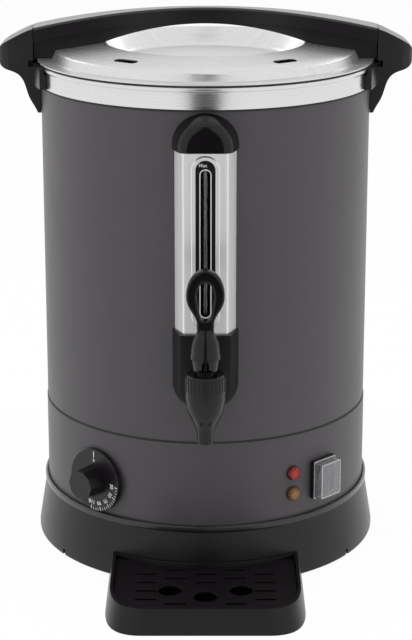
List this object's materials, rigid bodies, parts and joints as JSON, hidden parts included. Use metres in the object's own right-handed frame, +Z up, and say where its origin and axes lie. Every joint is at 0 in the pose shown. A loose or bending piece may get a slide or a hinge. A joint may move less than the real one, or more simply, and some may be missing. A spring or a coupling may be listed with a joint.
{
  "type": "hot water urn",
  "caption": "Tall round hot water urn: painted shell, steel lid with arched handle, sight gauge, lever tap, thermostat knob, switch and drip tray.",
  "frame": {"origin": "on the vessel's axis, in the plane that the foot ring stands on", "axes": "+Z up, the tap and controls face -Y, +X to the right of someone in front of the tap"},
  "size_m": [0.328, 0.3638, 0.4341],
  "materials": {
    "black_plastic": "fine satin moulding",
    "dark_paint": "satin powder coat",
    "lid_steel": "brushed",
    "inner_steel": "drawn",
    "hardware": "plated",
    "rubber": "dull",
    "silicone": "soft",
    "tube_glass": "clear",
    "clear_cover": "clear",
    "red_lens": "translucent",
    "amber_lens": "translucent",
    "rocker_plastic": "gloss",
    "aluminium": "cast",
    "copper": "drawn",
    "ceramic_white": "moulded"
  },
  "bodies": {
    "urn": {"base_ring": "black_plastic", "foot_ring": "rubber", "bottom_plate": "inner_steel", "tie_rods": "hardware", "tie_nuts": "hardware", "cord_gland": "black_plastic", "panel_ring": "dark_paint", "panel_seal": "rubber", "rim_seal": "rubber", "outer_shell": "dark_paint", "inner_vessel": "lid_steel", "vessel_bottom": "inner_steel", "handle_left": "black_plastic", "handle_right": "black_plastic", "handle_screws": "hardware", "gauge_cover": "lid_steel", "gauge_backing": "black_plastic", "gauge_tube": "tube_glass", "gauge_seals": "silicone", "gauge_cap": "black_plastic", "gauge_vent_pipe": "inner_steel", "tap_housing": "black_plastic", "tap_body": "black_plastic", "tap_washers": "silicone", "tap_nut": "hardware", "tap_bonnet": "black_plastic", "tap_spring": "hardware", "thermostat_body": "ceramic_white", "thermostat_nut": "hardware", "thermostat_bulb": "copper", "lamp_bodies": "black_plastic", "lamp_lens_red": "red_lens", "lamp_lens_amber": "amber_lens", "switch_bezel": "black_plastic", "switch_cover": "clear_cover", "heater_plate": "aluminium", "heater_element": "inner_steel", "thermal_cutout": "ceramic_white", "terminal_block": "ceramic_white"},
    "lid_seal": {"lid_gasket": "silicone"},
    "lid": {"lid_pan": "lid_steel", "lid_handle": "black_plastic", "lid_screws": "hardware"},
    "valve": {"tap_stem": "hardware", "tap_seat_cup": "silicone"},
    "lever": {"tap_lever": "black_plastic", "tap_lever_pin": "hardware"},
    "knob": {"thermostat_knob": "black_plastic", "thermostat_shaft": "hardware"},
    "rocker": {"switch_rocker": "rocker_plastic"},
    "button": {"reset_button": "red_lens"},
    "tray": {"drip_tray": "black_plastic"},
    "grate": {"drip_grate": "black_plastic"}
  },
  "joints": [
    {"name": "lid_lift", "type": "slide", "parent": "urn", "child": "lid_seal", "axis": [0, 0, 1], "range_m": [0, 0.15]},
    {"name": "lid_turn", "type": "hinge", "parent": "lid_seal", "child": "lid", "pos_m": [0, 0, 0.4], "axis": [0, 0, 1], "range_deg": [0, 25]},
    {"name": "stem_lift", "type": "slide", "parent": "urn", "child": "valve", "axis": [0, 0, 1], "range_m": [0, 0.00252], "deforming": ["tap_spring"]},
    {"name": "lever_tilt", "type": "hinge", "parent": "valve", "child": "lever", "pos_m": [0, -0.182, 0.1979], "axis": [1, 0, 0], "range_deg": [0, 45], "stiffness_Nm_per_rad": 0.15, "springref_deg": -14.32},
    {"name": "knob_turn", "type": "hinge", "parent": "urn", "child": "knob", "pos_m": [-0.08599, -0.10068, 0.0744], "axis": [0.6494, 0.7604, 0], "range_deg": [0, 270]},
    {"name": "rocker_tilt", "type": "hinge", "parent": "urn", "child": "rocker", "pos_m": [0.08972, -0.0913, 0.0744], "axis": [-0.7133, -0.7009, 0], "range_deg": [0, 18]},
    {"name": "reset_press", "type": "slide", "parent": "urn", "child": "button", "axis": [0, 0, 1], "range_m": [0, 0.0015], "stiffness_N_per_m": 200, "springref_m": -0.003},
    {"name": "tray_pull", "type": "slide", "parent": "urn", "child": "tray", "axis": [0, -1, 0], "range_m": [0, 0.08]},
    {"name": "grate_lift", "type": "slide", "parent": "tray", "child": "grate", "axis": [0, 0, 1], "range_m": [0, 0.06]}
  ],
  "couplings": [
    {"joint": "stem_lift", "follows": "lever_tilt", "m_per_rad": 0.0032}
  ]
}
